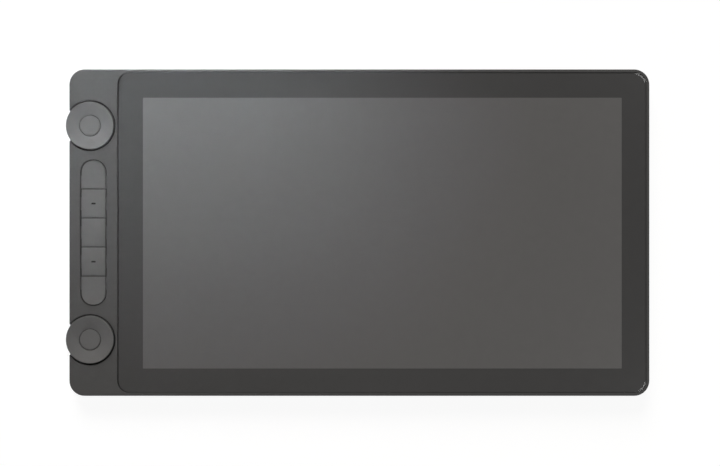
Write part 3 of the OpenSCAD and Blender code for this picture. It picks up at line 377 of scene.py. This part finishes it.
# Size and depth of a mark, height of the painted shade that fills its floor, and the rounding of its ends
# as a share of half its width
MARK = Vector((2.8, 1.0, 0)) * MM
MARK_DEPTH = 0.6 * MM
SHADE_FILL = 0.4 * MM
MARK_ROUND = 0.95

# Dark fill that paints the shade at the bottom of each engraved mark
slot_shade = finish("mark_paint", SHADE_TONE, 0.9, mottle=0.1, gloss=0.1)
for key in ("key_2", "key_4"):
    low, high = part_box(key)
    middle = (low + high) / 2
    half = MARK / 2 - margin
    plan = outline(middle - half, middle + half, MARK_ROUND * half.y, steps=6)
    base = high.z - MARK_DEPTH + HAIR
    verts, faces = stack([at(plan, base), at(plan, base + SHADE_FILL)], False)
    piece(f"{key}_paint", verts, faces, slot_shade, body=key)


# Wall pieces at the front frame's two left corners, where the bar's square hollow breaks through

# Corner radius and height of the frame, thickness of its skin, and width of its rim
FRAME_R = 9.3 * MM
FRAME_H = 3.6 * MM
SKIN = 1.6 * MM
RIM = 1.8 * MM
# Lap of the wall pieces past the edges of the opening, in degrees
LAP = 1.0

low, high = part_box("front_frame")
start = math.degrees(math.acos((FRAME_R - RIM) / FRAME_R)) - LAP
for side, sign, quarter in (("upper", 1, 90), ("lower", -1, 180)):
    plan = sector(low.x + FRAME_R, sign * (high.y - FRAME_R), FRAME_R - RIM, FRAME_R - HAIR,
                  quarter + start, quarter + 90 - start)
    verts, faces = stack([at(plan, FRONT - FRAME_H - HAIR), at(plan, FRONT - SKIN + HAIR)], False)
    piece(f"{side}_corner_wall", verts, faces, LOOKS["frame_plastic"])


# Floor and world

# Half the floor's side, in metres, its own tone, and the glow that the camera sees
SIDE = 4.0
FLOOR_TONE = grey(0.12)
FLOOR_GLOW = 0.93
# Strength of the world for the light, and as the camera sees it
WORLD_LIGHT = 0.12
WORLD_SHOWN = 1.0


def white_stage(name, tone, shown):
    """Surface that the camera sees as near white, with the object's shadow kept."""
    s = Shader(name)
    base = s.add("ShaderNodeBsdfDiffuse", color=tone)
    glow = s.add("ShaderNodeEmission", strength=shown)
    path = s.add("ShaderNodeLightPath")
    both = s.add("ShaderNodeAddShader", {0: base.outputs["BSDF"], 1: glow.outputs["Emission"]})
    mix = s.add("ShaderNodeMixShader", {
        0: path.outputs["Is Camera Ray"], 1: base.outputs["BSDF"], 2: both.outputs["Shader"]})
    return s.out(mix.outputs["Shader"])


corners = [(-SIDE, -SIDE), (SIDE, -SIDE), (SIDE, SIDE), (-SIDE, SIDE)]
floor_mesh = bpy.data.meshes.new("floor")
floor_mesh.from_pydata(at(corners, -HAIR), [], [(0, 1, 2, 3)])
floor = bpy.data.objects.new("floor", floor_mesh)
scene.collection.objects.link(floor)
floor.data.materials.append(white_stage("floor_white", FLOOR_TONE, FLOOR_GLOW))

world = bpy.data.worlds.new("studio")
scene.world = world
world.use_nodes = True
links = world.node_tree.links
back = world.node_tree.nodes["Background"]
back.inputs["Color"].default_value = WHITE
path = world.node_tree.nodes.new("ShaderNodeLightPath")
level = world.node_tree.nodes.new("ShaderNodeMapRange")
level.inputs["To Min"].default_value = WORLD_LIGHT
level.inputs["To Max"].default_value = WORLD_SHOWN
links.new(path.outputs["Is Camera Ray"], level.inputs["Value"])
links.new(level.outputs["Result"], back.inputs["Strength"])


# Light

COOL = (0.93, 1.0, 1.06)
WARM = (1.055, 1.0, 0.945)
NEUTRAL = (1.0, 1.0, 1.0)
# Middle of the bright patch at the top left
PATCH = Vector((-132 * MM, 107 * MM, FRONT))
# Places of the two glints at the right corners of the glass
GLINT_X = 170 * MM
GLINT_Y = 90 * MM
# Height over the horizon of the lamps that make them, in degrees, and their distance, in metres
GLINT_HEIGHT = 56.6
GLINT_AWAY = 0.8


def lamp(name, kind, place, aim, power, colour, **settings):
    """A light at a place, aimed at a point, hidden from the camera."""
    data = bpy.data.lights.new(name, kind)
    data.energy = power
    data.color = colour
    for key, value in settings.items():
        setattr(data, key, value)
    obj = bpy.data.objects.new(name, data)
    scene.collection.objects.link(obj)
    obj.location = place
    obj.rotation_mode = "QUATERNION"
    obj.rotation_quaternion = (aim - place).to_track_quat("-Z", "Y")
    obj.visible_camera = False
    return obj


def away(aim, azimuth, height, distance):
    """Point away from an aim, by azimuth clockwise from +Y and height over the horizon, in degrees."""
    turn = math.radians(azimuth)
    rise = math.radians(height)
    flat = math.cos(rise)
    return aim + distance * Vector((math.sin(turn) * flat, math.cos(turn) * flat, math.sin(rise)))


place = away(PATCH, azimuth=-12, height=39.9, distance=1.0)
lamp("strip_softbox", "AREA", place, PATCH, power=0.202, colour=COOL,
     shape="RECTANGLE", size=0.285, size_y=0.082, spread=math.radians(13.4))
origin = Vector((0, 0, 0))
place = away(origin, azimuth=-8, height=30, distance=1.0)
lamp("far_softbox", "SUN", place, origin, power=3.14, colour=WARM, angle=math.radians(35))
for name, azimuth, y in (("upper_glint", 50, GLINT_Y), ("lower_glint", 130, -GLINT_Y)):
    aim = Vector((GLINT_X, y, FRONT))
    place = away(aim, azimuth, GLINT_HEIGHT, GLINT_AWAY)
    glint = lamp(name, "AREA", place, aim, power=2.0, colour=NEUTRAL,
                 shape="ELLIPSE", size=0.56, size_y=0.36)
    glint.visible_diffuse = False


# Camera straight above the screen

# Distance from the front, in metres, and width of what is seen there
DISTANCE = 1.23
VIEW_WIDTH = 441.95 * MM
# Place of the camera in plan
EYE_X = 1.44 * MM
EYE_Y = -0.23 * MM

camera = bpy.data.cameras.new("camera")
camera.type = "PERSP"
camera.sensor_width = 36.0
camera.lens = camera.sensor_width * DISTANCE / VIEW_WIDTH
eye = bpy.data.objects.new("camera", camera)
scene.collection.objects.link(eye)
eye.location = (EYE_X, EYE_Y, FRONT + DISTANCE)
scene.camera = eye
scene.view_settings.view_transform = "Standard"
